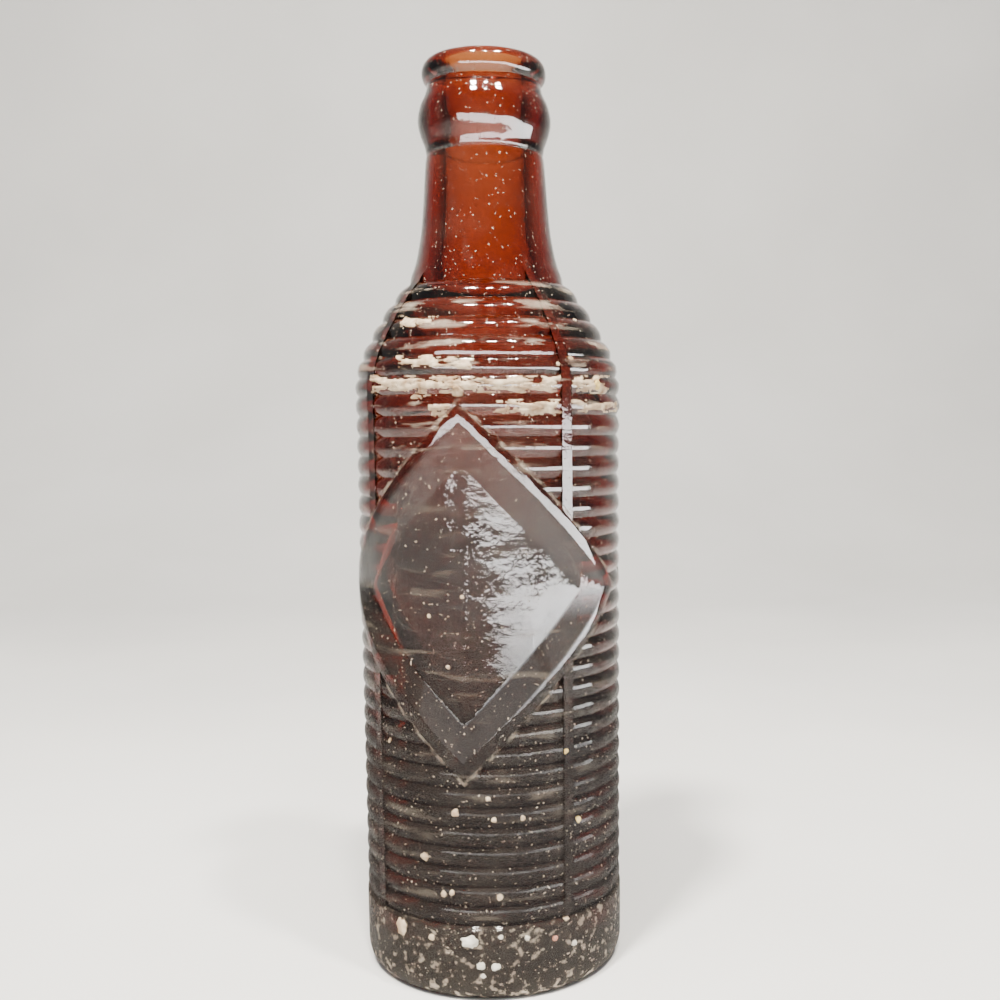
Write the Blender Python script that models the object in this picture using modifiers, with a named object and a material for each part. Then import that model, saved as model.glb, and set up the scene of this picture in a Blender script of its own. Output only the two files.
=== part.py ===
"""Small ribbed glass soda bottle with a rounded crown-cap lip, in one piece of glass.

The bottle stands on Z = 0 with its axis on Z. Rings of ribs run round the body and the shoulder. Four
vertical strips cross the ribs, and two diamond panels face -Y and +Y. The mouth is open, and the glass
is hollow down to a thick base with a push-up.
"""

import math

import bmesh
import bpy
from mathutils import Matrix, Vector

MM = 0.001

# Driving sizes in millimetres.
HEIGHT = 197.5
BODY_R = 28.95
HEEL_BAND_TOP = 16.5
HEEL_BAND_R = 29.1
HEEL_ROUND = 3.4
FOOT_OUTER_R = 26.4
FOOT_INNER_R = 20.4
PUSH_UP = 3.4
BASE_THICK = 5.2
INNER_R = 23.3
BORE_R = 7.9

BODY_RIBS = 26
BODY_RIB_TOP = 126.6
SHOULDER_RIBS = 6
NECK_FOOT_Z = 150.7
RIB_RELIEF = 0.7
RIB_CREST_SHARE = 0.6  # of each rib's height

STRIP_WIDTH = 2.4
STRIP_DEPTH = 1.8
STRIP_PROUD = 0.15  # over the rib crests
STRIP_COUNT = 4

PANEL_CENTRE_Z = 86.17
PANEL_OUTER = 38.8
PANEL_FRAME_INNER = 34.7
PANEL_FIELD = 26.7
PANEL_FRAME_R = 29.35
PANEL_FIELD_R = 27.95
PANEL_BACK_R = 26.4
PANEL_CUT = 38.2
PANEL_CUT_FLOOR_R = 27.2
PANEL_CUT_OUT_R = 33.0

STEPS = 40
STEP_ANGLE = 2.0 * math.pi / STEPS

# Shoulder: the line over the rib crests, from the foot of the neck down to the straight body.
SHOULDER = (
    (17.3, NECK_FOOT_Z),
    (19.9, 147.6),
    (23.0, 143.2),
    (25.7, 138.5),
    (27.9, 134.0),
    (28.85, 129.8),
    (29.0, 126.0),
    (BODY_R, 120.0),
)

# Outside of the lip, the bulge under it and the neck, from the top of the lip down.
LIP = (
    (BORE_R + 0.1, 196.3),
    (BORE_R + 0.9, 197.2),
    (10.4, HEIGHT),
    (11.9, 197.1),
    (12.9, 196.1),
    (13.3, 194.6),
    (13.0, 193.2),
    (12.2, 192.2),
)
NECK = (
    (12.2, 191.5),
    (12.8, 189.8),
    (13.8, 187.6),
    (14.3, 184.7),
    (13.8, 182.0),
    (12.9, 179.6),
    (12.6, 178.1),
    (12.3, 177.5),
    (12.7, 177.0),
    (13.1, 172.5),
    (13.5, 167.0),
    (14.1, 161.2),
    (15.2, 155.6),
    (16.4, 152.2),
)

# Inside, from the centre of the floor up to the mouth.
INSIDE = (
    (0.0, PUSH_UP + BASE_THICK),
    (12.0, PUSH_UP + BASE_THICK + 0.2),
    (18.6, PUSH_UP + BASE_THICK + 1.5),
    (22.2, PUSH_UP + BASE_THICK + 5.0),
    (INNER_R, PUSH_UP + BASE_THICK + 10.5),
    (INNER_R, 125.0),
    (22.3, 131.5),
    (19.8, 138.0),
    (16.2, 143.6),
    (12.6, 148.0),
    (10.3, 152.5),
    (9.2, 158.5),
    (8.5, 168.0),
    (8.2, 182.0),
    (BORE_R, 191.0),
)


def clear_scene():
    for obj in list(bpy.data.objects):
        bpy.data.objects.remove(obj, do_unlink=True)


def new_collection(name):
    made = bpy.data.collections.new(name)
    bpy.context.scene.collection.children.link(made)
    return made


def smooth_line(points, pieces):
    """A smooth line through the points, with this many straight pieces between each two of them."""
    line = [Vector(p) for p in points]
    ends = [2 * line[0] - line[1]] + line + [2 * line[-1] - line[-2]]
    made = []
    for i in range(1, len(ends) - 2):
        before, start, end, after = ends[i - 1 : i + 3]
        for k in range(pieces):
            t = k / pieces
            bend = 2 * before - 5 * start + 4 * end - after
            twist = 3 * (start - end) + after - before
            made.append(start + 0.5 * t * ((end - before) + t * (bend + t * twist)))
    made.append(line[-1])
    return made


def crest_line():
    """The line over the rib crests in the half plane of radius and height, from top to bottom."""
    return smooth_line(SHOULDER, 8) + [Vector((BODY_R, HEEL_BAND_TOP))]


def at_height(line, z):
    """The point of the crest line at this height, and the direction out of the glass there."""
    for start, end in zip(line, line[1:]):
        if z >= end.y:
            along = (end - start).normalized()
            share = (start.y - z) / (start.y - end.y)
            return start.lerp(end, share), Vector((-along.y, along.x))
    return line[-1], Vector((1.0, 0.0))


def groove_heights():
    """Heights of the grooves between the ribs, from the foot of the neck down to the plain heel band."""
    low = (BODY_RIB_TOP - HEEL_BAND_TOP) / BODY_RIBS
    high = (NECK_FOOT_Z - BODY_RIB_TOP) / SHOULDER_RIBS
    shoulder = [NECK_FOOT_Z - high * k for k in range(SHOULDER_RIBS)]
    return shoulder + [BODY_RIB_TOP - low * k for k in range(BODY_RIBS + 1)]


def rib_points():
    """Three points a rib: the groove above it, then both edges of its crest. The last groove ends the row."""
    line = crest_line()
    grooves = groove_heights()
    edge = 0.5 - 0.5 * RIB_CREST_SHARE
    points = []
    for top, bottom in zip(grooves, grooves[1:]):
        for share, sink in ((0.0, RIB_RELIEF), (edge, 0.0), (1.0 - edge, 0.0)):
            place, out = at_height(line, top + share * (bottom - top))
            points.append(place - sink * out)
    points.append(line[-1] - Vector((RIB_RELIEF, 0.0)))
    return points


def foot_points():
    """From the plain band over the rounded heel to the flat ring that stands on the table, then the push-up."""
    points = [Vector((HEEL_BAND_R, HEEL_BAND_TOP - 0.8))]
    points.append(Vector((HEEL_BAND_R, HEEL_ROUND + 1.0)))
    wide = HEEL_BAND_R - FOOT_OUTER_R
    for k in (1, 2, 3):
        turn = math.radians(30 * k)
        x = FOOT_OUTER_R + wide * math.cos(turn)
        z = (HEEL_ROUND + 1.0) * (1.0 - math.sin(turn))
        points.append(Vector((x, max(z, 0.0))))
    points.append(Vector((FOOT_INNER_R, 0.0)))
    for k in (1, 2, 3):
        turn = math.radians(30 * k)
        points.append(Vector((FOOT_INNER_R * math.cos(turn), PUSH_UP * math.sin(turn))))
    points[-1] = Vector((0.0, PUSH_UP))
    return points


def profile():
    """The whole section of the glass, from the middle of the inner floor to the middle of the push-up."""
    inner = [Vector(p) for p in INSIDE]
    outer = [Vector(p) for p in LIP + NECK]
    return inner + outer + rib_points() + foot_points()


def object_of(name, mesh, home):
    made = bpy.data.objects.new(name, mesh)
    home.objects.link(made)
    return made


def as_cutter(obj):
    obj.hide_render = True
    obj.display_type = "WIRE"
    return obj


def turned_glass(home):
    mesh = bpy.data.meshes.new("bottle")
    points = profile()
    verts = [(p.x * MM, 0.0, p.y * MM) for p in points]
    edges = [(i, i + 1) for i in range(len(points) - 1)]
    mesh.from_pydata(verts, edges, [])
    made = object_of("bottle", mesh, home)
    screw = made.modifiers.new("turn", "SCREW")
    screw.axis = "Z"
    screw.angle = 2.0 * math.pi
    screw.steps = STEPS
    screw.render_steps = STEPS
    screw.use_merge_vertices = True
    screw.merge_threshold = 0.00001
    screw.use_smooth_shade = True
    return made


def strip_bar(work, angle):
    """One vertical strip: a bar whose outer edge follows the line over the rib crests."""
    line = smooth_line(SHOULDER, 2)
    foot = [Vector((BODY_R, HEEL_BAND_TOP + 0.9)), Vector((BODY_R - 0.9, HEEL_BAND_TOP - 1.1))]
    front = [Vector((16.1, 152.4))] + line + foot
    outer = []
    inner = []
    for i, point in enumerate(front):
        before = front[max(i - 1, 0)]
        after = front[min(i + 1, len(front) - 1)]
        along = (after - before).normalized()
        out = Vector((-along.y, along.x))
        outer.append(point + STRIP_PROUD * out)
        inner.append(point - STRIP_DEPTH * out)
    ring = outer + inner[::-1]
    turn = Matrix.Rotation(angle, 3, "Z")
    sides = []
    for y in (-0.5 * STRIP_WIDTH, 0.5 * STRIP_WIDTH):
        sides.append([work.verts.new(turn @ Vector((p.x, y, p.y)) * MM) for p in ring])
    work.faces.new(sides[0])
    work.faces.new(sides[1][::-1])
    for i in range(len(ring)):
        j = (i + 1) % len(ring)
        work.faces.new((sides[0][j], sides[0][i], sides[1][i], sides[1][j]))


def strips(home):
    work = bmesh.new()
    for k in range(STRIP_COUNT):
        strip_bar(work, math.radians(45.0 + 90.0 * k))
    return finish_helper(work, "strips", home)


def finish_helper(work, name, home):
    bmesh.ops.recalc_face_normals(work, faces=work.faces[:])
    mesh = bpy.data.meshes.new(name)
    work.to_mesh(mesh)
    work.free()
    return as_cutter(object_of(name, mesh, home))


def diamond_sheet(rings):
    """A flat diamond of nested squares standing on a corner, cut at each angular step of the bottle."""
    sheet = bmesh.new()
    corners = []
    for half in rings:
        ring = ((half, 0.0), (0.0, half), (-half, 0.0), (0.0, -half))
        corners.append([sheet.verts.new((x, 0.0, z)) for x, z in ring])
    for outer, inner in zip(corners, corners[1:]):
        for i in range(4):
            j = (i + 1) % 4
            sheet.faces.new((outer[i], outer[j], inner[j], inner[i]))
    sheet.faces.new(corners[-1])
    width = BODY_R * STEP_ANGLE
    reach = int(rings[0] / width)
    for k in range(-reach, reach + 1):
        everything = sheet.verts[:] + sheet.edges[:] + sheet.faces[:]
        cut = Vector((k * width, 0.0, 0.0))
        bmesh.ops.bisect_plane(sheet, geom=everything, dist=1e-5, plane_co=cut, plane_no=(1.0, 0.0, 0.0))
    return sheet


def diamond_body(rings, front_radius, back_radius, side):
    """The diamond sheet bent round the bottle and given a front and a back; front_radius is a function."""
    sheet = diamond_sheet(rings)
    flat = [(v.co.x, v.co.z) for v in sheet.verts]
    faces = [[v.index for v in f.verts] for f in index_verts(sheet)]
    rim = [(e.verts[0].index, e.verts[1].index) for e in sheet.edges if e.is_boundary]
    sheet.free()
    body = bmesh.new()
    layers = []
    for radius in (front_radius, lambda half: back_radius):
        layer = []
        for x, z in flat:
            turn = x / BODY_R + side
            r = radius(abs(x) + abs(z))
            place = Vector((r * math.sin(turn), -r * math.cos(turn), PANEL_CENTRE_Z + z))
            layer.append(body.verts.new(place * MM))
        layers.append(layer)
    for face in faces:
        body.faces.new([layers[0][i] for i in face])
        body.faces.new([layers[1][i] for i in reversed(face)])
    for i, j in rim:
        body.faces.new((layers[0][i], layers[0][j], layers[1][j], layers[1][i]))
    return body


def index_verts(sheet):
    sheet.verts.index_update()
    return sheet.faces[:]


def panel_front(half):
    """Radius of the panel: a level frame, a wide bevel down to the field, then the level field."""
    if half >= PANEL_FRAME_INNER:
        return PANEL_FRAME_R
    slope = max(half - PANEL_FIELD, 0.0) / (PANEL_FRAME_INNER - PANEL_FIELD)
    return PANEL_FIELD_R + slope * (PANEL_FRAME_R - PANEL_FIELD_R)


def cutter_front(half):
    return PANEL_CUT_OUT_R


def both_sides(name, rings, front_radius, back_radius, home):
    whole = bmesh.new()
    for side in (0.0, math.pi):
        body = diamond_body(rings, front_radius, back_radius, side)
        part = bpy.data.meshes.new("part")
        body.to_mesh(part)
        body.free()
        whole.from_mesh(part)
        bpy.data.meshes.remove(part)
    return finish_helper(whole, name, home)


def add_boolean(obj, name, operation, other):
    step = obj.modifiers.new(name, "BOOLEAN")
    step.operation = operation
    step.solver = "EXACT"
    step.object = other


def soften(obj):
    """Shades the glass smooth, with edges over 32 degrees kept sharp."""
    group = bpy.data.node_groups.new("sharp_by_angle", "GeometryNodeTree")
    group.interface.new_socket("Geometry", in_out="INPUT", socket_type="NodeSocketGeometry")
    group.interface.new_socket("Geometry", in_out="OUTPUT", socket_type="NodeSocketGeometry")
    nodes, links = group.nodes, group.links
    start = nodes.new("NodeGroupInput")
    end = nodes.new("NodeGroupOutput")
    angle = nodes.new("GeometryNodeInputMeshEdgeAngle")
    under = nodes.new("FunctionNodeCompare")
    under.data_type = "FLOAT"
    under.operation = "LESS_EQUAL"
    under.inputs[1].default_value = math.radians(32.0)
    shade = nodes.new("GeometryNodeSetShadeSmooth")
    shade.domain = "EDGE"
    links.new(start.outputs[0], shade.inputs["Geometry"])
    links.new(angle.outputs["Unsigned Angle"], under.inputs[0])
    links.new(under.outputs[0], shade.inputs["Shade Smooth"])
    links.new(shade.outputs[0], end.inputs[0])
    step = obj.modifiers.new("sharp edges", "NODES")
    step.node_group = group


def amber_glass():
    made = bpy.data.materials.new("amber_glass")
    made.use_nodes = True
    shader = made.node_tree.nodes["Principled BSDF"]
    shader.inputs["Base Color"].default_value = (0.33, 0.11, 0.035, 1.0)
    shader.inputs["Roughness"].default_value = 0.08
    shader.inputs["Metallic"].default_value = 0.0
    shader.inputs["IOR"].default_value = 1.52
    shader.inputs["Transmission Weight"].default_value = 1.0
    return made


def build():
    clear_scene()
    home = new_collection("soda_bottle")
    helpers = new_collection("cutters")
    bottle = turned_glass(home)
    bars = strips(helpers)
    cut_rings = (PANEL_CUT,)
    pad_rings = (PANEL_OUTER, PANEL_FRAME_INNER, PANEL_FIELD)
    recess = both_sides("panel_recess", cut_rings, cutter_front, PANEL_CUT_FLOOR_R, helpers)
    pads = both_sides("panels", pad_rings, panel_front, PANEL_BACK_R, helpers)
    add_boolean(bottle, "vertical strips", "UNION", bars)
    add_boolean(bottle, "panel recess", "DIFFERENCE", recess)
    add_boolean(bottle, "diamond panels", "UNION", pads)
    soften(bottle)
    bottle.data.materials.append(amber_glass())


build()
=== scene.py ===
"""Old amber ribbed soda bottle, empty and dirty, on a pale studio floor.

The glass repeats the construction of the CAD part with more steps and rounded ribs. Dust, dried residue,
crust, specks and grit are pieces of their own that lie on the glass; the dust film also carries painted shade
and a painted sheen.
"""

import math

import bmesh
import bpy
from mathutils import Matrix, Vector, noise
from mathutils.bvhtree import BVHTree


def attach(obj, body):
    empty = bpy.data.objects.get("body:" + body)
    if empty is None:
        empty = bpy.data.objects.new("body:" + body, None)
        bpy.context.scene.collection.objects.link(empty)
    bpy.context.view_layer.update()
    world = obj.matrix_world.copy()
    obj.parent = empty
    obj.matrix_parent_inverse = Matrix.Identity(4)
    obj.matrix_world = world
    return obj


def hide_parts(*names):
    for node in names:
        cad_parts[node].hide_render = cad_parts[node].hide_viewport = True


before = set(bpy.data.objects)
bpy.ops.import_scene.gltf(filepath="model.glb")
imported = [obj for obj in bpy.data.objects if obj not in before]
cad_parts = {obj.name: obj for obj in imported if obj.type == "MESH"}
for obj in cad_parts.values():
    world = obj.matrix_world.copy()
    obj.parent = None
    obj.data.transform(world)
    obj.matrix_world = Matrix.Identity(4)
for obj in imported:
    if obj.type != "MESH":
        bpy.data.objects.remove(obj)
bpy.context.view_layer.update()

MM = 0.001

# Sizes of the bottle in millimetres, as in the part.
HEIGHT = 197.5
BODY_R = 28.95
HEEL_BAND_TOP = 16.5
HEEL_BAND_R = 29.1
HEEL_ROUND = 4.4
FOOT_OUTER_R = 26.4
FOOT_INNER_R = 20.4
PUSH_UP = 3.4
INNER_R = 23.3
BORE_R = 7.9
BODY_RIBS = 26
BODY_RIB_TOP = 126.6
SHOULDER_RIBS = 6
NECK_FOOT_Z = 150.7
RIB_RELIEF = 0.7
STRIP_WIDTH = 2.4
STRIP_DEPTH = 1.8
STRIP_PROUD = 0.15
PANEL_CENTRE_Z = 86.17
PANEL_BACK_R = 26.4
PANEL_CUT = 38.2
PANEL_CUT_FLOOR_R = 27.2
PANEL_CUT_OUT_R = 33.0

# Panel section: distance from its centre along a diagonal, and radius from the bottle's axis.
PANEL_SECTION = (
    (38.8, 28.9),
    (38.4, 29.25),
    (37.8, 29.35),
    (35.2, 29.35),
    (34.4, 29.2),
    (27.1, 28.05),
    (26.3, 27.95),
)

# Where dirt collects round the panels, from their centre along a diagonal.
PANEL_DIRT_LINE = 39.1
GRIT_LINE = 38.9
GRIT_LINE_HALF = 0.7

STEPS = 96
STEP_ANGLE = 2.0 * math.pi / STEPS
RIB_POINTS = 8
RIB_ROUNDING = 2.2
SHARP_EDGE = 34.0  # degrees

SHOULDER = (
    (17.3, NECK_FOOT_Z),
    (19.9, 147.6),
    (23.0, 143.2),
    (25.7, 138.5),
    (27.9, 134.0),
    (28.85, 129.8),
    (29.0, 126.0),
    (BODY_R, 120.0),
)
LIP = (
    (8.0, 196.3),
    (8.8, 197.2),
    (10.4, HEIGHT),
    (11.9, 197.1),
    (12.9, 196.1),
    (13.3, 194.6),
    (13.0, 193.2),
    (12.2, 192.2),
)
NECK = (
    (12.2, 191.5),
    (12.8, 189.8),
    (13.8, 187.6),
    (14.3, 184.7),
    (13.8, 182.0),
    (12.9, 179.6),
    (12.6, 178.1),
    (12.3, 177.5),
    (12.7, 177.0),
    (13.1, 172.5),
    (13.5, 167.0),
    (14.1, 161.2),
    (15.2, 155.6),
    (16.4, 152.2),
)
INSIDE = (
    (0.0, 8.6),
    (12.0, 8.8),
    (18.6, 10.1),
    (22.2, 13.6),
    (INNER_R, 19.1),
    (INNER_R, 125.0),
    (22.3, 131.5),
    (19.8, 138.0),
    (16.2, 143.6),
    (12.6, 148.0),
    (10.3, 152.5),
    (9.2, 158.5),
    (8.5, 168.0),
    (8.2, 182.0),
    (BORE_R, 191.0),
)

# Telling the outside from the inside: over the inner wall by a margin, and by another near the floor.
WALL_MARGIN = 0.7
FLOOR_ZONE_TOP = 20.0
FLOOR_MARGIN = 1.2

# The dust film, with its painted shade and sheen, lies this far off the glass and dried residue this far
# inside the bore.
FILM_LIFT = 0.05
RESIDUE_IN = 0.3
RESIDUE_UP = 0.1

# Floor and backdrop in metres: the front edge, the start of the bend, its radius, the top and half the width.
SWEEP_FRONT = -1.6
SWEEP_BEND = 0.5
SWEEP_RADIUS = 0.4
SWEEP_TOP = 1.8
SWEEP_HALF = 2.0
SWEEP_DROP = 0.0002
SWEEP_STEPS = 12

# The photo's camera: turn round the bottle, distance and height, then the way it points.
CAMERA_TURN = 12.0
CAMERA_DISTANCE = 0.2618
CAMERA_HEIGHT = 0.1208
CAMERA_PAN = 8.82
CAMERA_TILT = 82.86
CAMERA_ROLL = -0.40
LENS = 42.08
SENSOR = 36.0
SHIFT_X = -0.055
SHIFT_Y = 0.069
PICTURE = 1000.0

# Crust that lies along the ribs: left, top, right and bottom in the photo, and thickness in millimetres.
CRUST_PATCHES = (
    (374, 378, 557, 390, 0.26),
    (415, 386, 430, 397, 0.24),
    (404, 318, 434, 324, 0.18),
    (400, 358, 470, 367, 0.2),
    (432, 407, 446, 416, 0.22),
    (497, 402, 558, 413, 0.24),
    (575, 378, 606, 391, 0.26),
    (575, 402, 618, 410, 0.22),
)

# Lumps: place in the photo, width and height in pixels, and kind.
LUMPS = (
    (458, 392, 12, 12, "cream"),
    (402, 926, 12, 18, "cream"),
    (425, 856, 8, 8, "cream"),
    (455, 813, 7, 7, "cream"),
    (488, 799, 5, 5, "cream"),
    (494, 820, 5, 5, "cream"),
    (523, 818, 5, 5, "cream"),
    (444, 894, 6, 6, "cream"),
    (452, 893, 5, 5, "cream"),
    (500, 897, 6, 6, "cream"),
    (432, 937, 7, 6, "cream"),
    (448, 667, 4, 4, "cream"),
    (429, 616, 4, 4, "cream"),
    (462, 597, 4, 4, "cream"),
    (390, 740, 4, 5, "cream"),
    (570, 358, 8, 5, "cream"),
    (558, 364, 5, 4, "cream"),
    (575, 320, 5, 4, "cream"),
    (566, 918, 6, 6, "cream"),
    (481, 966, 8, 8, "white"),
    (496, 967, 8, 8, "white"),
    (470, 942, 16, 12, "white"),
    (483, 976, 5, 5, "white"),
    (501, 937, 5, 5, "white"),
    (527, 938, 5, 5, "white"),
    (574, 943, 6, 6, "white"),
    (597, 385, 9, 8, "yellow"),
    (566, 751, 5, 5, "yellow"),
    (578, 819, 6, 6, "yellow"),
    (555, 938, 6, 6, "red"),
)
LUMP_COLOURS = {
    "cream": ((0.30, 0.19, 0.10), (0.66, 0.53, 0.36)),
    "white": ((0.45, 0.42, 0.35), (0.74, 0.71, 0.62)),
    "yellow": ((0.50, 0.33, 0.08), (0.72, 0.55, 0.22)),
    "red": ((0.28, 0.09, 0.05), (0.45, 0.20, 0.12)),
}

# Small round lamps: turn from the camera, height angle, radius and power.
ROUND_LAMP_COLOUR = (1.0, 0.95, 0.86)
ROUND_LAMPS = (
    (-29.0, 60.0, 0.042, 13.0),
    (6.0, 60.0, 0.026, 5.0),
    (40.0, 62.0, 0.028, 6.0),
)


# ---- the glass ----


def smooth_line(points, pieces):
    """A smooth line through the points, with this many straight pieces between each two of them."""
    line = [Vector(p) for p in points]
    ends = [2 * line[0] - line[1]] + line + [2 * line[-1] - line[-2]]
    made = []
    for i in range(1, len(ends) - 2):
        before, start, end, after = ends[i - 1 : i + 3]
        for k in range(pieces):
            t = k / pieces
            bend = 2 * before - 5 * start + 4 * end - after
            twist = 3 * (start - end) + after - before
            made.append(start + 0.5 * t * ((end - before) + t * (bend + t * twist)))
    made.append(line[-1])
    return made


def at_height(line, z):
    """The point of the crest line at this height, and the direction out of the glass there."""
    for start, end in zip(line, line[1:]):
        if z >= end.y:
            along = (end - start).normalized()
            share = (start.y - z) / (start.y - end.y)
            return start.lerp(end, share), Vector((-along.y, along.x))
    return line[-1], Vector((1.0, 0.0))


def groove_heights():
    """Heights of the grooves between the ribs, from the foot of the neck down to the heel band."""
    low = (BODY_RIB_TOP - HEEL_BAND_TOP) / BODY_RIBS
    high = (NECK_FOOT_Z - BODY_RIB_TOP) / SHOULDER_RIBS
    shoulder = [NECK_FOOT_Z - high * k for k in range(SHOULDER_RIBS)]
    return shoulder + [BODY_RIB_TOP - low * k for k in range(BODY_RIBS + 1)]


def rib_points():
    """Rounded ribs that meet in narrow grooves."""
    line = smooth_line(SHOULDER, 8) + [Vector((BODY_R, HEEL_BAND_TOP))]
    grooves = groove_heights()
    points = []
    for top, bottom in zip(grooves, grooves[1:]):
        for k in range(RIB_POINTS):
            share = k / RIB_POINTS
            sink = RIB_RELIEF * abs(2.0 * share - 1.0) ** RIB_ROUNDING
            place, out = at_height(line, top + share * (bottom - top))
            points.append(place - sink * out)
    points.append(line[-1] - Vector((RIB_RELIEF, 0.0)))
    return points


def foot_points():
    """The heel band, the rounded heel, the flat ring that stands on the floor and the push-up."""
    points = [Vector((HEEL_BAND_R, HEEL_BAND_TOP - 0.8)), Vector((HEEL_BAND_R, HEEL_ROUND))]
    wide = HEEL_BAND_R - FOOT_OUTER_R
    for k in range(1, 7):
        turn = math.radians(15 * k)
        x = FOOT_OUTER_R + wide * math.cos(turn)
        points.append(Vector((x, HEEL_ROUND * (1.0 - math.sin(turn)))))
    for k in range(0, 6):
        turn = math.radians(18 * k)
        points.append(Vector((FOOT_INNER_R * math.cos(turn), PUSH_UP * math.sin(turn))))
    points[-1] = Vector((0.0, PUSH_UP))
    return points


def profile():
    """The whole section of the glass, from the middle of the inner floor to the middle of the push-up."""
    inner = smooth_line(INSIDE, 3)
    inner[0] = Vector(INSIDE[0])
    outer = smooth_line(LIP, 3) + smooth_line(NECK, 3)
    return inner + outer + rib_points() + foot_points()


def link(name, mesh):
    made = bpy.data.objects.new(name, mesh)
    bpy.context.scene.collection.objects.link(made)
    return made


def turned(name, points):
    mesh = bpy.data.meshes.new(name)
    verts = [(p.x * MM, 0.0, p.y * MM) for p in points]
    mesh.from_pydata(verts, [(i, i + 1) for i in range(len(points) - 1)], [])
    made = link(name, mesh)
    screw = made.modifiers.new("turn", "SCREW")
    screw.axis = "Z"
    screw.angle = 2.0 * math.pi
    screw.steps = STEPS
    screw.render_steps = STEPS
    screw.use_merge_vertices = True
    screw.merge_threshold = 0.00001
    return made


def strip_bar(work, angle):
    """One vertical strip, whose outer edge follows the line over the rib crests."""
    line = smooth_line(SHOULDER, 4)
    foot = [Vector((BODY_R, HEEL_BAND_TOP + 0.9)), Vector((BODY_R - 0.9, HEEL_BAND_TOP - 1.1))]
    front = [Vector((16.1, 152.4))] + line + foot
    outer = []
    inner = []
    for i, point in enumerate(front):
        before = front[max(i - 1, 0)]
        after = front[min(i + 1, len(front) - 1)]
        along = (after - before).normalized()
        out = Vector((-along.y, along.x))
        outer.append(point + STRIP_PROUD * out)
        inner.append(point - STRIP_DEPTH * out)
    ring = outer + inner[::-1]
    turn = Matrix.Rotation(angle, 3, "Z")
    sides = []
    for y in (-0.5 * STRIP_WIDTH, 0.5 * STRIP_WIDTH):
        sides.append([work.verts.new(turn @ Vector((p.x, y, p.y)) * MM) for p in ring])
    work.faces.new(sides[0])
    work.faces.new(sides[1][::-1])
    for i in range(len(ring)):
        j = (i + 1) % len(ring)
        work.faces.new((sides[0][j], sides[0][i], sides[1][i], sides[1][j]))


def helper(work, name):
    bmesh.ops.recalc_face_normals(work, faces=work.faces[:])
    mesh = bpy.data.meshes.new(name)
    work.to_mesh(mesh)
    work.free()
    return link(name, mesh)


def strips():
    work = bmesh.new()
    for k in range(4):
        strip_bar(work, math.radians(45.0 + 90.0 * k))
    return helper(work, "strips")


def diamond_sheet(rings):
    """A flat diamond of nested squares, cut at each angular step of the bottle."""
    sheet = bmesh.new()
    corners = []
    for half in rings:
        ring = ((half, 0.0), (0.0, half), (-half, 0.0), (0.0, -half))
        corners.append([sheet.verts.new((x, 0.0, z)) for x, z in ring])
    for outer, inner in zip(corners, corners[1:]):
        for i in range(4):
            j = (i + 1) % 4
            sheet.faces.new((outer[i], outer[j], inner[j], inner[i]))
    sheet.faces.new(corners[-1])
    width = BODY_R * STEP_ANGLE
    reach = int(rings[0] / width)
    for k in range(-reach, reach + 1):
        everything = sheet.verts[:] + sheet.edges[:] + sheet.faces[:]
        cut = Vector((k * width, 0.0, 0.0))
        bmesh.ops.bisect_plane(sheet, geom=everything, dist=1e-5, plane_co=cut, plane_no=(1.0, 0.0, 0.0))
    return sheet


def panel_front(half):
    """Radius of the panel's front at this distance from its centre."""
    for (far, far_r), (near, near_r) in zip(PANEL_SECTION, PANEL_SECTION[1:]):
        if half >= near:
            share = min((far - half) / (far - near), 1.0)
            return far_r + max(share, 0.0) * (near_r - far_r)
    return PANEL_SECTION[-1][1]


def diamonds(name, rings, front_radius, back_radius):
    """The diamond sheet bent round both faces of the bottle and given a front and a back."""
    whole = bmesh.new()
    for side in (0.0, math.pi):
        sheet = diamond_sheet(rings)
        sheet.verts.index_update()
        flat = [(v.co.x, v.co.z) for v in sheet.verts]
        faces = [[v.index for v in f.verts] for f in sheet.faces]
        rim = [(e.verts[0].index, e.verts[1].index) for e in sheet.edges if e.is_boundary]
        sheet.free()
        layers = []
        for radius in (front_radius, lambda half: back_radius):
            layer = []
            for x, z in flat:
                turn = x / BODY_R + side
                r = radius(abs(x) + abs(z))
                place = Vector((r * math.sin(turn), -r * math.cos(turn), PANEL_CENTRE_Z + z))
                layer.append(whole.verts.new(place * MM))
            layers.append(layer)
        for face in faces:
            whole.faces.new([layers[0][i] for i in face])
            whole.faces.new([layers[1][i] for i in reversed(face)])
        for i, j in rim:
            whole.faces.new((layers[0][i], layers[0][j], layers[1][j], layers[1][i]))
    return helper(whole, name)


def add_boolean(obj, operation, other):
    step = obj.modifiers.new(operation.lower(), "BOOLEAN")
    step.operation = operation
    kinds = step.bl_rna.properties["solver"].enum_items.keys()
    step.solver = "MANIFOLD" if "MANIFOLD" in kinds else "EXACT"
    step.object = other


def plain_mesh(obj, name):
    """The object as its modifiers leave it, as a plain mesh with no modifiers."""
    bpy.context.view_layer.update()
    graph = bpy.context.evaluated_depsgraph_get()
    mesh = bpy.data.meshes.new_from_object(obj.evaluated_get(graph))
    mesh.name = name
    bpy.data.objects.remove(obj, do_unlink=True)
    return link(name, mesh)


def make_glass():
    rough = turned("turned glass", profile())
    bars = strips()
    recess = diamonds("recess", (PANEL_CUT,), lambda half: PANEL_CUT_OUT_R, PANEL_CUT_FLOOR_R)
    pads = diamonds("pads", [half for half, r in PANEL_SECTION], panel_front, PANEL_BACK_R)
    add_boolean(rough, "UNION", bars)
    add_boolean(rough, "DIFFERENCE", recess)
    add_boolean(rough, "UNION", pads)
    glass = plain_mesh(rough, "glass_bottle")
    for tool in (bars, recess, pads):
        bpy.data.objects.remove(tool, do_unlink=True)
    glass.data.shade_smooth()
    glass.data.set_sharp_from_angle(angle=math.radians(SHARP_EDGE))
    return glass


# ---- materials ----


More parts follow.
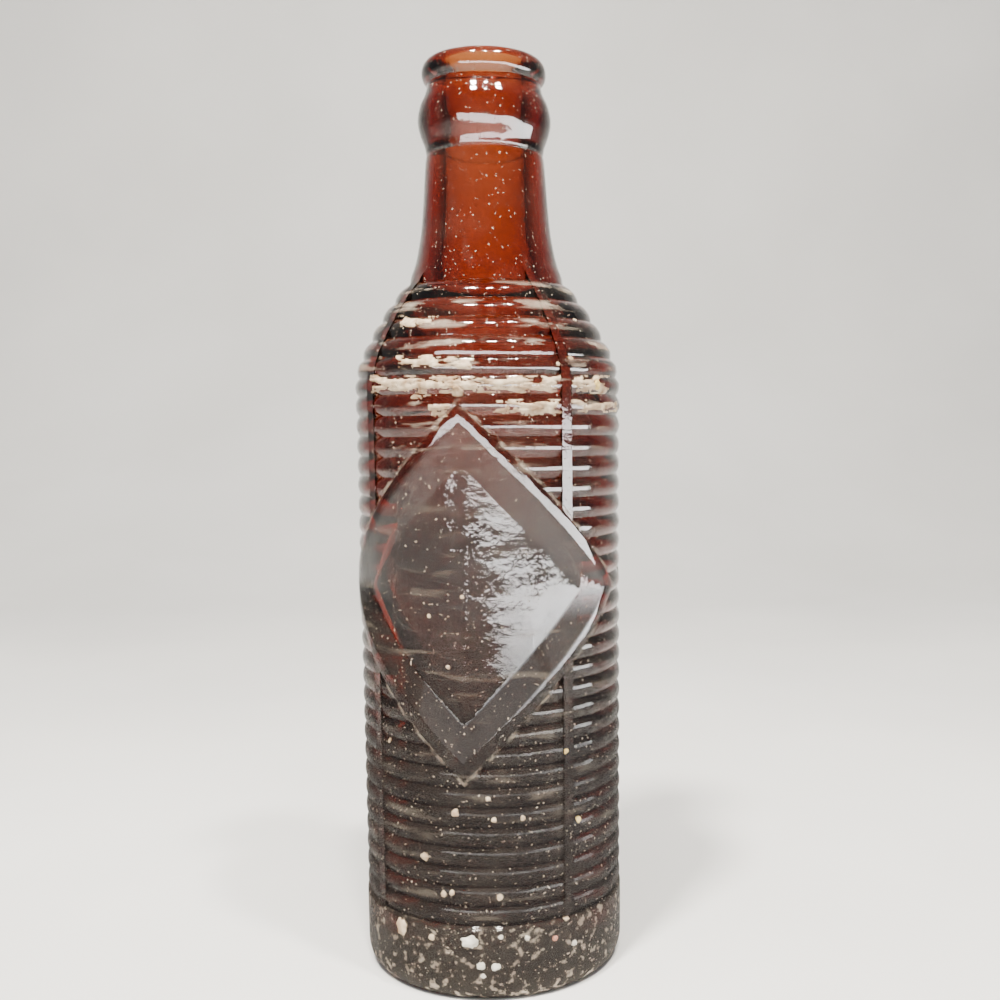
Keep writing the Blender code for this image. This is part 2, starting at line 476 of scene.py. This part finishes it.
def add(tree, kind, sockets=None, **settings):
    """A node with these settings; each socket gets a plain value or a link."""
    made = tree.nodes.new(kind)
    for name, value in settings.items():
        setattr(made, name, value)
    for key, value in (sockets or {}).items():
        if isinstance(value, bpy.types.NodeSocket):
            tree.links.new(value, made.inputs[key])
        else:
            made.inputs[key].default_value = value
    return made


def noise_of(tree, place, scale, detail=3.0):
    made = add(tree, "ShaderNodeTexNoise", {"Vector": place, "Scale": scale, "Detail": detail})
    return made.outputs[0]


def spread(tree, value, low, high, out_low, out_high):
    names = {"Value": value, "From Min": low, "From Max": high, "To Min": out_low, "To Max": out_high}
    return add(tree, "ShaderNodeMapRange", names).outputs[0]


def maths(tree, operation, first, second):
    return add(tree, "ShaderNodeMath", {0: first, 1: second}, operation=operation).outputs[0]


def blend_of(tree, share, first, second):
    made = add(tree, "ShaderNodeMix", {0: share}, data_type="RGBA")
    made.inputs[6].default_value = (*first, 1.0)
    made.inputs[7].default_value = (*second, 1.0)
    return made.outputs[2]


def shader_group(name, inputs, outputs):
    tree = bpy.data.node_groups.new(name, "ShaderNodeTree")
    for label, kind in inputs:
        tree.interface.new_socket(label, in_out="INPUT", socket_type=kind)
    for label, kind in outputs:
        tree.interface.new_socket(label, in_out="OUTPUT", socket_type=kind)
    return tree, tree.nodes.new("NodeGroupInput"), tree.nodes.new("NodeGroupOutput")


def worn_surface():
    """Fine wear of old glass: how rough it is from place to place, and a low wave in its surface."""
    tree, start, end = shader_group(
        "worn_surface",
        [("Place", "NodeSocketVector")],
        [("Roughness", "NodeSocketFloat"), ("Height", "NodeSocketFloat")],
    )
    place = start.outputs[0]
    cloudy = spread(tree, noise_of(tree, place, 160.0, 5.0), 0.35, 0.7, 0.02, 0.11)
    rubbed = spread(tree, noise_of(tree, place, 1400.0, 2.0), 0.62, 0.76, 0.0, 0.14)
    tree.links.new(maths(tree, "ADD", cloudy, rubbed), end.inputs[0])
    wave = maths(tree, "MULTIPLY", noise_of(tree, place, 90.0, 2.0), 0.8)
    grain = maths(tree, "MULTIPLY", noise_of(tree, place, 900.0, 3.0), 0.12)
    tree.links.new(maths(tree, "ADD", wave, grain), end.inputs[1])
    return tree


def rib_crests(tree, height):
    """1 along the crest of each rib and 0 in the grooves."""
    low_pitch = (BODY_RIB_TOP - HEEL_BAND_TOP) / BODY_RIBS * MM
    high_pitch = (NECK_FOOT_Z - BODY_RIB_TOP) / SHOULDER_RIBS * MM
    down = maths(tree, "SUBTRACT", BODY_RIB_TOP * MM, height)
    straight = maths(tree, "DIVIDE", maths(tree, "MAXIMUM", down, 0.0), low_pitch)
    curved = maths(tree, "DIVIDE", maths(tree, "MINIMUM", down, 0.0), high_pitch)
    share = maths(tree, "FRACT", maths(tree, "ADD", straight, curved), 0.0)
    away = maths(tree, "ABSOLUTE", maths(tree, "SUBTRACT", share, 0.5), 0.0)
    return spread(tree, away, 0.28, 0.12, 0.0, 1.0)


def from_panel_centre(tree, place, height):
    """Distance from the middle of the nearer panel, measured as a diamond, in metres."""
    parts = add(tree, "ShaderNodeSeparateXYZ", {0: place}).outputs
    front = maths(tree, "ABSOLUTE", parts[1], 0.0)
    turn = maths(tree, "ABSOLUTE", maths(tree, "ARCTAN2", parts[0], front), 0.0)
    arc = maths(tree, "MULTIPLY", turn, BODY_R * MM)
    rise = maths(tree, "ABSOLUTE", maths(tree, "SUBTRACT", height, PANEL_CENTRE_Z * MM), 0.0)
    return maths(tree, "ADD", arc, rise)


def stretched(tree, place, factors):
    """The place scaled in each direction, so that a pattern on it runs along the glass."""
    return add(tree, "ShaderNodeVectorMath", {0: place, 1: factors}, operation="MULTIPLY").outputs[0]


def product(tree, *values):
    made = values[0]
    for value in values[1:]:
        made = maths(tree, "MULTIPLY", made, value)
    return made


def thin_haze(tree, place):
    """A faint veil, and faint runs down the glass."""
    veil = spread(tree, noise_of(tree, place, 110.0, 6.0), 0.42, 0.78, 0.0, 0.022)
    down = stretched(tree, place, (420.0, 420.0, 28.0))
    runs = spread(tree, noise_of(tree, down, 1.0, 3.0), 0.58, 0.80, 0.0, 0.035)
    return maths(tree, "ADD", veil, runs)


def crest_scuffs(tree, place, height):
    """Pale scuffs along the rib crests, most of them on the shoulder: partly wear and partly a painted sheen
    standing in for the light the crests reflect from above.
    """
    # Wear and painted sheen: pale streaks along the crests, strongest on the shoulder.
    level = stretched(tree, place, (95.0, 95.0, 520.0))
    scuffs_and_sheen = spread(tree, noise_of(tree, level, 1.0, 5.0), 0.55, 0.64, 0.0, 0.5)
    shoulder = spread(tree, height, 0.108, 0.124, 0.2, 0.9)
    below_neck = spread(tree, height, 0.1505, 0.1485, 0.0, 1.0)
    above_heel = spread(tree, height, 0.016, 0.018, 0.0, 1.0)
    return product(tree, scuffs_and_sheen, rib_crests(tree, height), below_neck, above_heel, shoulder)


def heel_crumbs(tree, place, height):
    """Dried crumbs on the plain band at the heel, thickest at the foot."""
    crumbs = spread(tree, noise_of(tree, place, 520.0, 6.0), 0.55, 0.67, 0.02, 0.55)
    band = spread(tree, height, 0.0172, 0.0150, 0.0, 0.8)
    foot = spread(tree, height, 0.0055, 0.0020, 0.0, 0.9)
    return product(tree, crumbs, maths(tree, "ADD", band, foot))


def frame_line(tree, place, away):
    """A broken pale line where the panel frame meets the ribs."""
    edge = maths(tree, "ABSOLUTE", maths(tree, "SUBTRACT", away, PANEL_DIRT_LINE * MM), 0.0)
    beside = spread(tree, edge, 0.0009, 0.0002, 0.0, 0.4)
    gaps = spread(tree, noise_of(tree, place, 330.0, 4.0), 0.42, 0.6, 0.0, 1.0)
    return product(tree, beside, gaps)


def dark_grime(tree, place, height, away):
    """A dark matte film over the lower body, partly grime and partly painted shade that dulls the glass's
    reflections there, and painted shade on the lower bevels of the panels that hides their reflection.
    """
    inner_edge = spread(tree, away, 0.0262, 0.0275, 0.0, 0.8)
    outer_edge = spread(tree, away, 0.0356, 0.0345, 0.0, 1.0)
    lower_half = spread(tree, height, 0.088, 0.080, 0.0, 1.0)
    # Painted shade: the lower bevels of the panels are darkened to hide their reflection.
    bevel = product(tree, inner_edge, outer_edge, lower_half)
    broken = spread(tree, noise_of(tree, place, 260.0, 5.0), 0.3, 0.6, 0.72, 1.0)
    # Partly grime and partly painted shade: darker towards the bottom, dulling the reflections of the lower
    # body.
    body = product(tree, spread(tree, height, 0.084, 0.048, 0.0, 0.76), broken)
    return maths(tree, "MAXIMUM", body, bevel)


def dust_masks():
    """How much dust, grime and painted shade covers the glass, how its tint wanders, and how much of it is
    pale dust and painted sheen rather than dark grime and painted shade.
    """
    tree, start, end = shader_group(
        "dust_masks",
        [("Place", "NodeSocketVector")],
        [("Cover", "NodeSocketFloat"), ("Tint", "NodeSocketFloat"), ("Pale share", "NodeSocketFloat")],
    )
    place = start.outputs[0]
    height = add(tree, "ShaderNodeSeparateXYZ", {0: place}).outputs[2]
    away = from_panel_centre(tree, place, height)
    # The thin haze plus the crests' scuffs and painted sheen.
    veil_and_sheen = maths(tree, "ADD", thin_haze(tree, place), crest_scuffs(tree, place, height))
    specks = spread(tree, noise_of(tree, place, 1500.0, 2.0), 0.68, 0.72, 0.0, 0.75)
    dust_and_sheen = maths(tree, "MAXIMUM", veil_and_sheen, specks)
    with_heel = maths(tree, "ADD", dust_and_sheen, heel_crumbs(tree, place, height))
    pale = maths(tree, "MINIMUM", maths(tree, "ADD", with_heel, frame_line(tree, place, away)), 0.9)
    bare = maths(tree, "SUBTRACT", 1.0, pale)
    # Dark grime and painted shade, only where no pale dust lies.
    grime_and_shade = product(tree, dark_grime(tree, place, height, away), bare)
    cover = maths(tree, "ADD", pale, grime_and_shade)
    tree.links.new(cover, end.inputs[0])
    tree.links.new(spread(tree, noise_of(tree, place, 240.0, 4.0), 0.3, 0.7, 0.0, 1.0), end.inputs[1])
    tree.links.new(maths(tree, "DIVIDE", pale, maths(tree, "MAXIMUM", cover, 0.001)), end.inputs[2])
    return tree


def crusty_surface():
    """Broken colour and grain of dried dirt."""
    tree, start, end = shader_group(
        "crusty_surface",
        [("Place", "NodeSocketVector")],
        [("Tint", "NodeSocketFloat"), ("Roughness", "NodeSocketFloat"), ("Height", "NodeSocketFloat")],
    )
    place = start.outputs[0]
    wide = noise_of(tree, place, 420.0, 5.0)
    tree.links.new(spread(tree, wide, 0.35, 0.68, 0.0, 1.0), end.inputs[0])
    tree.links.new(spread(tree, wide, 0.3, 0.7, 0.95, 0.75), end.inputs[1])
    tree.links.new(noise_of(tree, place, 2600.0, 4.0), end.inputs[2])
    return tree


def new_material(name):
    """A material, its tree, its shader and the place on the object that its patterns read."""
    made = bpy.data.materials.new(name)
    made.use_nodes = True
    tree = made.node_tree
    place = tree.nodes.new("ShaderNodeTexCoord").outputs["Object"]
    return made, tree, tree.nodes["Principled BSDF"], place


def use_group(tree, group, place):
    made = tree.nodes.new("ShaderNodeGroup")
    made.node_tree = group
    tree.links.new(place, made.inputs[0])
    return made


def bumped(tree, shader, height, strength, distance):
    bump = add(tree, "ShaderNodeBump", {"Strength": strength, "Distance": distance, "Height": height})
    tree.links.new(bump.outputs[0], shader.inputs["Normal"])


def glass_material(wear):
    made, tree, shader, place = new_material("amber_glass_old")
    surface = use_group(tree, wear, place)
    shader.inputs["Base Color"].default_value = (1.0, 0.97, 0.94, 1.0)
    shader.inputs["Metallic"].default_value = 0.0
    shader.inputs["IOR"].default_value = 1.52
    shader.inputs["Transmission Weight"].default_value = 1.0
    tree.links.new(surface.outputs["Roughness"], shader.inputs["Roughness"])
    bumped(tree, shader, surface.outputs["Height"], 0.6, 0.0004)
    amber = add(tree, "ShaderNodeVolumeAbsorption", {"Color": (0.81, 0.49, 0.14, 1.0), "Density": 680.0})
    tree.links.new(amber.outputs[0], tree.nodes["Material Output"].inputs["Volume"])
    return made


def dust_material(masks):
    made, tree, shader, place = new_material("dust_film")
    dust = use_group(tree, masks, place)
    tint = blend_of(tree, dust.outputs["Tint"], (0.30, 0.22, 0.17), (0.52, 0.45, 0.35))
    # The pale dust colour mixed with a near-black one, the colour of the grime and painted shade on the lower
    # body and lower bevels.
    whole = add(tree, "ShaderNodeMix", {0: dust.outputs["Pale share"], 7: tint}, data_type="RGBA")
    whole.inputs[6].default_value = (0.012, 0.008, 0.006, 1.0)
    tree.links.new(whole.outputs[2], shader.inputs["Base Color"])
    tree.links.new(dust.outputs["Cover"], shader.inputs["Alpha"])
    shader.inputs["Specular IOR Level"].default_value = 0.15
    shader.inputs["Roughness"].default_value = 0.85
    return made


def residue_material(masks):
    """Dark dried drink on the inside, thickest near the floor."""
    made, tree, shader, place = new_material("dried_residue")
    height = add(tree, "ShaderNodeSeparateXYZ", {0: place}).outputs[2]
    low = spread(tree, height, 0.142, 0.088, 0.0, 0.93)
    broken = spread(tree, noise_of(tree, place, 70.0, 5.0), 0.3, 0.6, 0.85, 1.0)
    dust = use_group(tree, masks, place)
    tint = blend_of(tree, dust.outputs["Tint"], (0.008, 0.005, 0.004), (0.020, 0.009, 0.006))
    tree.links.new(tint, shader.inputs["Base Color"])
    tree.links.new(maths(tree, "MULTIPLY", low, broken), shader.inputs["Alpha"])
    shader.inputs["Roughness"].default_value = 0.9
    shader.inputs["Specular IOR Level"].default_value = 0.1
    return made


def dirt_material(name, grain, dark, light):
    made, tree, shader, place = new_material(name)
    surface = use_group(tree, grain, place)
    tree.links.new(blend_of(tree, surface.outputs["Tint"], dark, light), shader.inputs["Base Color"])
    tree.links.new(surface.outputs["Roughness"], shader.inputs["Roughness"])
    bumped(tree, shader, surface.outputs["Height"], 0.6, 0.0002)
    return made


def stage_material(name, dark, light):
    made, tree, shader, place = new_material(name)
    share = spread(tree, noise_of(tree, place, 6.0, 4.0), 0.35, 0.65, 0.0, 1.0)
    tree.links.new(blend_of(tree, share, dark, light), shader.inputs["Base Color"])
    tree.links.new(spread(tree, share, 0.0, 1.0, 0.7, 0.8), shader.inputs["Roughness"])
    return made


# ---- dirt on the glass ----


def on_outside(centre):
    """Whether a face with this centre is on the outside of the bottle."""
    r = math.hypot(centre.x, centre.y) / MM
    z = centre.z / MM
    if z < FLOOR_ZONE_TOP:
        return r > INNER_R + FLOOR_MARGIN
    for (low_r, low_z), (high_r, high_z) in zip(INSIDE, INSIDE[1:]):
        if low_z <= z <= high_z:
            share = (z - low_z) / (high_z - low_z)
            return r > low_r + share * (high_r - low_r) + WALL_MARGIN
    return r > BORE_R + WALL_MARGIN


def outer_skin(glass, name, lift):
    """The outside faces of the glass, lifted off it by this much."""
    work = bmesh.new()
    work.from_mesh(glass.data)
    inside = [f for f in work.faces if not on_outside(f.calc_center_median())]
    bmesh.ops.delete(work, geom=inside, context="FACES")
    work.normal_update()
    lifted = [(v, v.co + lift * v.normal) for v in work.verts]
    for vert, place in lifted:
        vert.co = place
    mesh = bpy.data.meshes.new(name)
    work.to_mesh(mesh)
    work.free()
    return link(name, mesh)


def camera_matrix():
    turn = math.radians(CAMERA_TURN)
    place = Vector((CAMERA_DISTANCE * math.sin(turn), -CAMERA_DISTANCE * math.cos(turn), CAMERA_HEIGHT))
    pan = Matrix.Rotation(math.radians(CAMERA_PAN), 4, "Z")
    tilt = Matrix.Rotation(math.radians(CAMERA_TILT), 4, "X")
    roll = Matrix.Rotation(math.radians(CAMERA_ROLL), 4, "Z")
    return Matrix.Translation(place) @ pan @ tilt @ roll


def on_glass(surface, x, y):
    """The point of the glass under this pixel of the photo and the direction out of it, or None."""
    camera = camera_matrix()
    across = (x / PICTURE - 0.5 + SHIFT_X) * SENSOR / LENS
    up = (0.5 - y / PICTURE + SHIFT_Y) * SENSOR / LENS
    way = (camera.to_3x3() @ Vector((across, up, -1.0))).normalized()
    place, normal, index, distance = surface.ray_cast(camera.translation, way)
    if place is None or normal.dot(way) > -0.12:
        return None
    return place, normal


def crust_patch(work, surface, patch, seed):
    """A crust sheet that follows the glass, thick in the middle and ragged at its edge."""
    left, top, right, bottom, thick = patch
    grid = {}
    for y in range(top - 3, bottom + 4):
        for x in range(left - 4, right + 5):
            hit = on_glass(surface, x, y)
            if hit is None:
                continue
            place, normal = hit
            inset = min(x - left, right - x, 1.6 * (y - top), 1.6 * (bottom - y))
            wide = noise.fractal(Vector((x * 0.055, y * 0.24, seed)), 0.7, 2.1, 5)
            fine = noise.noise(Vector((x * 0.5, y * 0.7, seed + 9.0)))
            height = 0.13 * min(inset, 4.0) + 1.5 * wide + 0.45 * fine - 0.12
            rise = min(max(height, -0.25), 1.0) * thick * MM
            grid[x, y] = (work.verts.new(place + rise * normal), height)
    for (x, y), (first, height) in grid.items():
        corners = [grid.get(key) for key in ((x, y), (x, y + 1), (x + 1, y + 1), (x + 1, y))]
        if all(corners) and max(c[1] for c in corners) > 0.0:
            longest = max((corners[i][0].co - corners[i - 1][0].co).length for i in range(4))
            if longest < 1.2 * MM:
                work.faces.new([c[0] for c in corners])


def finish_dirt(work, name, material):
    loose = [v for v in work.verts if not v.link_faces]
    bmesh.ops.delete(work, geom=loose, context="VERTS")
    for face in work.faces:
        face.smooth = True
    mesh = bpy.data.meshes.new(name)
    work.to_mesh(mesh)
    work.free()
    mesh.materials.append(material)
    return link(name, mesh)


def make_crust(surface, material):
    work = bmesh.new()
    for i, patch in enumerate(CRUST_PATCHES):
        crust_patch(work, surface, patch, 3.7 * i)
    return finish_dirt(work, "dried_crust", material)


def add_lump(work, surface, x, y, wide, high, seed):
    """One flattened, uneven lump on the glass, under this pixel of the photo."""
    hit = on_glass(surface, x, y)
    if hit is None:
        return
    place, normal = hit
    pixel = (place - camera_matrix().translation).length * SENSOR / LENS / PICTURE
    across = Vector((0.0, 0.0, 1.0)).cross(normal).normalized()
    up = normal.cross(across)
    size = (0.5 * wide * pixel, 0.5 * high * pixel)
    made = bmesh.ops.create_icosphere(work, subdivisions=3, radius=1.0)
    for vert in made["verts"]:
        way = vert.co.normalized()
        swell = 1.0 + 0.45 * noise.fractal(way * 1.7 + Vector((seed, 0.0, 0.0)), 0.8, 2.0, 3)
        flat = 0.45 * min(size) * swell * way.z
        vert.co = place + swell * (size[0] * way.x * across + size[1] * way.y * up) + flat * normal


def make_lumps(surface, grain):
    """One piece of lumps and specks for each kind of dirt."""
    made = []
    for kind, (dark, light) in LUMP_COLOURS.items():
        work = bmesh.new()
        for i, (x, y, wide, high, what) in enumerate(LUMPS):
            if what == kind:
                add_lump(work, surface, x, y, wide, high, 5.3 * i)
        material = dirt_material("dirt_" + kind, grain, dark, light)
        made.append(finish_dirt(work, "specks_" + kind, material))
    return made


def grit_density(mesh):
    """Grit lies thick on the heel band, along the outer line of the panels and thinly elsewhere."""
    share = mesh.attributes.new("grit_share", "FLOAT", "POINT")
    for vert in mesh.vertices:
        r = math.hypot(vert.co.x, vert.co.y)
        z = vert.co.z / MM
        value = 0.03
        if z < 16.5:
            value = 1.0 if z > 3.0 else 0.7
        arc = abs(math.atan2(vert.co.x, abs(vert.co.y))) * BODY_R
        edge = arc + abs(z - PANEL_CENTRE_Z)
        if r > 0.02 and abs(edge - GRIT_LINE) < GRIT_LINE_HALF:
            value = 0.5
        if z > 150.0:
            value = 0.02
        share.data[vert.index].value = value


def grit_tree(material):
    tree = bpy.data.node_groups.new("scattered_grit", "GeometryNodeTree")
    face = tree.interface
    face.new_socket("Geometry", in_out="INPUT", socket_type="NodeSocketGeometry")
    face.new_socket("Grains per square metre", in_out="INPUT", socket_type="NodeSocketFloat")
    face.new_socket("Grain radius", in_out="INPUT", socket_type="NodeSocketFloat")
    face.new_socket("Seed", in_out="INPUT", socket_type="NodeSocketInt")
    face.new_socket("Geometry", in_out="OUTPUT", socket_type="NodeSocketGeometry")
    start = tree.nodes.new("NodeGroupInput")
    end = tree.nodes.new("NodeGroupOutput")
    share = add(tree, "GeometryNodeInputNamedAttribute", {"Name": "grit_share"}, data_type="FLOAT")
    density = maths(tree, "MULTIPLY", share.outputs[0], start.outputs[1])
    wanted = {"Mesh": start.outputs[0], "Seed": start.outputs[3]}
    points = add(tree, "GeometryNodeDistributePointsOnFaces", wanted)
    tree.links.new(density, points.inputs["Density"])
    grain = add(tree, "GeometryNodeMeshIcoSphere", {"Radius": start.outputs[2], "Subdivisions": 2})
    sizes = add(tree, "FunctionNodeRandomValue", {"Seed": start.outputs[3]}, data_type="FLOAT_VECTOR")
    sizes.inputs[0].default_value = (0.4, 0.4, 0.3)
    sizes.inputs[1].default_value = (1.6, 1.6, 0.8)
    placed = add(
        tree,
        "GeometryNodeInstanceOnPoints",
        {"Points": points.outputs["Points"], "Instance": grain.outputs["Mesh"]},
    )
    tree.links.new(points.outputs["Rotation"], placed.inputs["Rotation"])
    tree.links.new(sizes.outputs[0], placed.inputs["Scale"])
    real = add(tree, "GeometryNodeRealizeInstances", {"Geometry": placed.outputs[0]})
    painted = add(tree, "GeometryNodeSetMaterial", {"Geometry": real.outputs[0], "Material": material})
    tree.links.new(painted.outputs[0], end.inputs[0])
    return tree


def make_grit(glass, material):
    skin = outer_skin(glass, "grit base", 0.0)
    grit_density(skin.data)
    tree = grit_tree(material)
    step = skin.modifiers.new("grit", "NODES")
    step.node_group = tree
    wanted = {"Grains per square metre": 140000.0, "Grain radius": 0.00011, "Seed": 11}
    for socket in tree.interface.items_tree:
        if socket.in_out == "INPUT" and socket.name in wanted:
            step[socket.identifier] = wanted[socket.name]
    return plain_mesh(skin, "grit")


# ---- stage, light and camera ----


def make_stage():
    """Floor and backdrop in one sheet that curves up behind the bottle."""
    section = [(SWEEP_FRONT, 0.0), (SWEEP_BEND, 0.0)]
    for k in range(1, SWEEP_STEPS + 1):
        turn = math.radians(90.0 * k / SWEEP_STEPS)
        section.append((SWEEP_BEND + SWEEP_RADIUS * math.sin(turn), SWEEP_RADIUS * (1.0 - math.cos(turn))))
    section.append((SWEEP_BEND + SWEEP_RADIUS, SWEEP_TOP))
    turn = Matrix.Rotation(math.radians(CAMERA_TURN), 3, "Z")
    verts = []
    for x in (-SWEEP_HALF, SWEEP_HALF):
        verts += [turn @ Vector((x, y, z - SWEEP_DROP)) for y, z in section]
    count = len(section)
    faces = [(i, i + count, i + count + 1, i + 1) for i in range(count - 1)]
    mesh = bpy.data.meshes.new("studio_sweep")
    mesh.from_pydata(verts, [], faces)
    mesh.shade_smooth()
    mesh.materials.append(stage_material("pale_sweep", (0.70, 0.69, 0.67), (0.76, 0.75, 0.73)))
    sweep = link("studio_sweep", mesh)


def lamp(name, turn, height_angle, distance, size, power, aim_height, colour=(1.0, 1.0, 1.0), roll=0.0):
    """An area lamp at this turn from the camera and this angle over its aim on the bottle's axis."""
    aim = Vector((0.0, 0.0, aim_height))
    data = bpy.data.lights.new(name, "AREA")
    data.energy = power
    data.color = colour
    if len(size) == 1:
        data.shape = "DISK"
        data.size = size[0]
    else:
        data.shape = "RECTANGLE"
        data.size, data.size_y = size
    made = link(name, data)
    side = math.radians(CAMERA_TURN + turn)
    rise = math.radians(height_angle)
    flat = distance * math.cos(rise)
    made.location = Vector((flat * math.sin(side), -flat * math.cos(side), distance * math.sin(rise))) + aim
    facing = (aim - made.location).to_track_quat("-Z", "Y").to_matrix()
    made.rotation_euler = (facing @ Matrix.Rotation(math.radians(roll), 3, "Z")).to_euler()
    made.visible_camera = False
    made.visible_transmission = False


def make_light():
    world = bpy.data.worlds.new("studio")
    bpy.context.scene.world = world
    world.use_nodes = True
    world.node_tree.nodes["Background"].inputs[0].default_value = (0.92, 0.94, 1.0, 1.0)
    world.node_tree.nodes["Background"].inputs[1].default_value = 0.26
    lamp("overhead", -10.0, 62.0, 1.3, (1.0, 1.0), 13.0, 0.09)
    # Two cards that only show as the white reflection on the panel's field.
    lamp("right_card", 62.0, 0.0, 0.34, (0.42, 0.100), 3.8, 0.067, roll=-3.0)
    lamp("front_card", -7.0, 0.0, 0.35, (0.55, 0.085), 3.6, 0.086, roll=-6.0)
    for card in ("right_card", "front_card"):
        bpy.data.objects[card].visible_diffuse = False
    # The glass shows the round lamps, and not the broad one over them.
    bpy.data.objects["overhead"].visible_glossy = False
    for i, (turn, rise, radius, power) in enumerate(ROUND_LAMPS):
        lamp("round_" + str(i), turn, rise, 0.6, (2.0 * radius,), power, 0.185, ROUND_LAMP_COLOUR)


def make_camera():
    data = bpy.data.cameras.new("photo_camera")
    data.lens = LENS
    data.sensor_width = SENSOR
    data.shift_x = SHIFT_X
    data.shift_y = SHIFT_Y
    data.clip_start = 0.01
    made = link("photo_camera", data)
    made.matrix_world = camera_matrix()
    bpy.context.scene.camera = made


def main():
    make_camera()
    make_light()
    make_stage()
    masks = dust_masks()
    grain = crusty_surface()

    glass = make_glass()
    glass.data.materials.clear()
    glass.data.materials.append(glass_material(worn_surface()))
    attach(glass, "root")
    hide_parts("bottle")

    surface = BVHTree.FromPolygons(
        [v.co.copy() for v in glass.data.vertices], [tuple(p.vertices) for p in glass.data.polygons]
    )
    # The film holds dust and grime, painted shade on the lower body and lower panel bevels, and a painted
    # sheen on the rib crests.
    dust = outer_skin(glass, "dust_film", FILM_LIFT * MM)
    dust.data.materials.clear()
    dust.data.materials.append(dust_material(masks))
    wall = smooth_line(INSIDE[1:10], 4)
    residue = turned("residue", [Vector((p.x - RESIDUE_IN, p.y + RESIDUE_UP)) for p in wall])
    residue = plain_mesh(residue, "dried_residue")
    residue.data.shade_smooth()
    residue.data.materials.append(residue_material(masks))
    crust = make_crust(surface, dirt_material("dirt_crust", grain, *LUMP_COLOURS["cream"]))
    grit = make_grit(glass, dirt_material("dirt_grit", grain, (0.28, 0.24, 0.17), (0.58, 0.56, 0.46)))
    for piece in [dust, residue, crust, grit] + make_lumps(surface, grain):
        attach(piece, "root")


main()
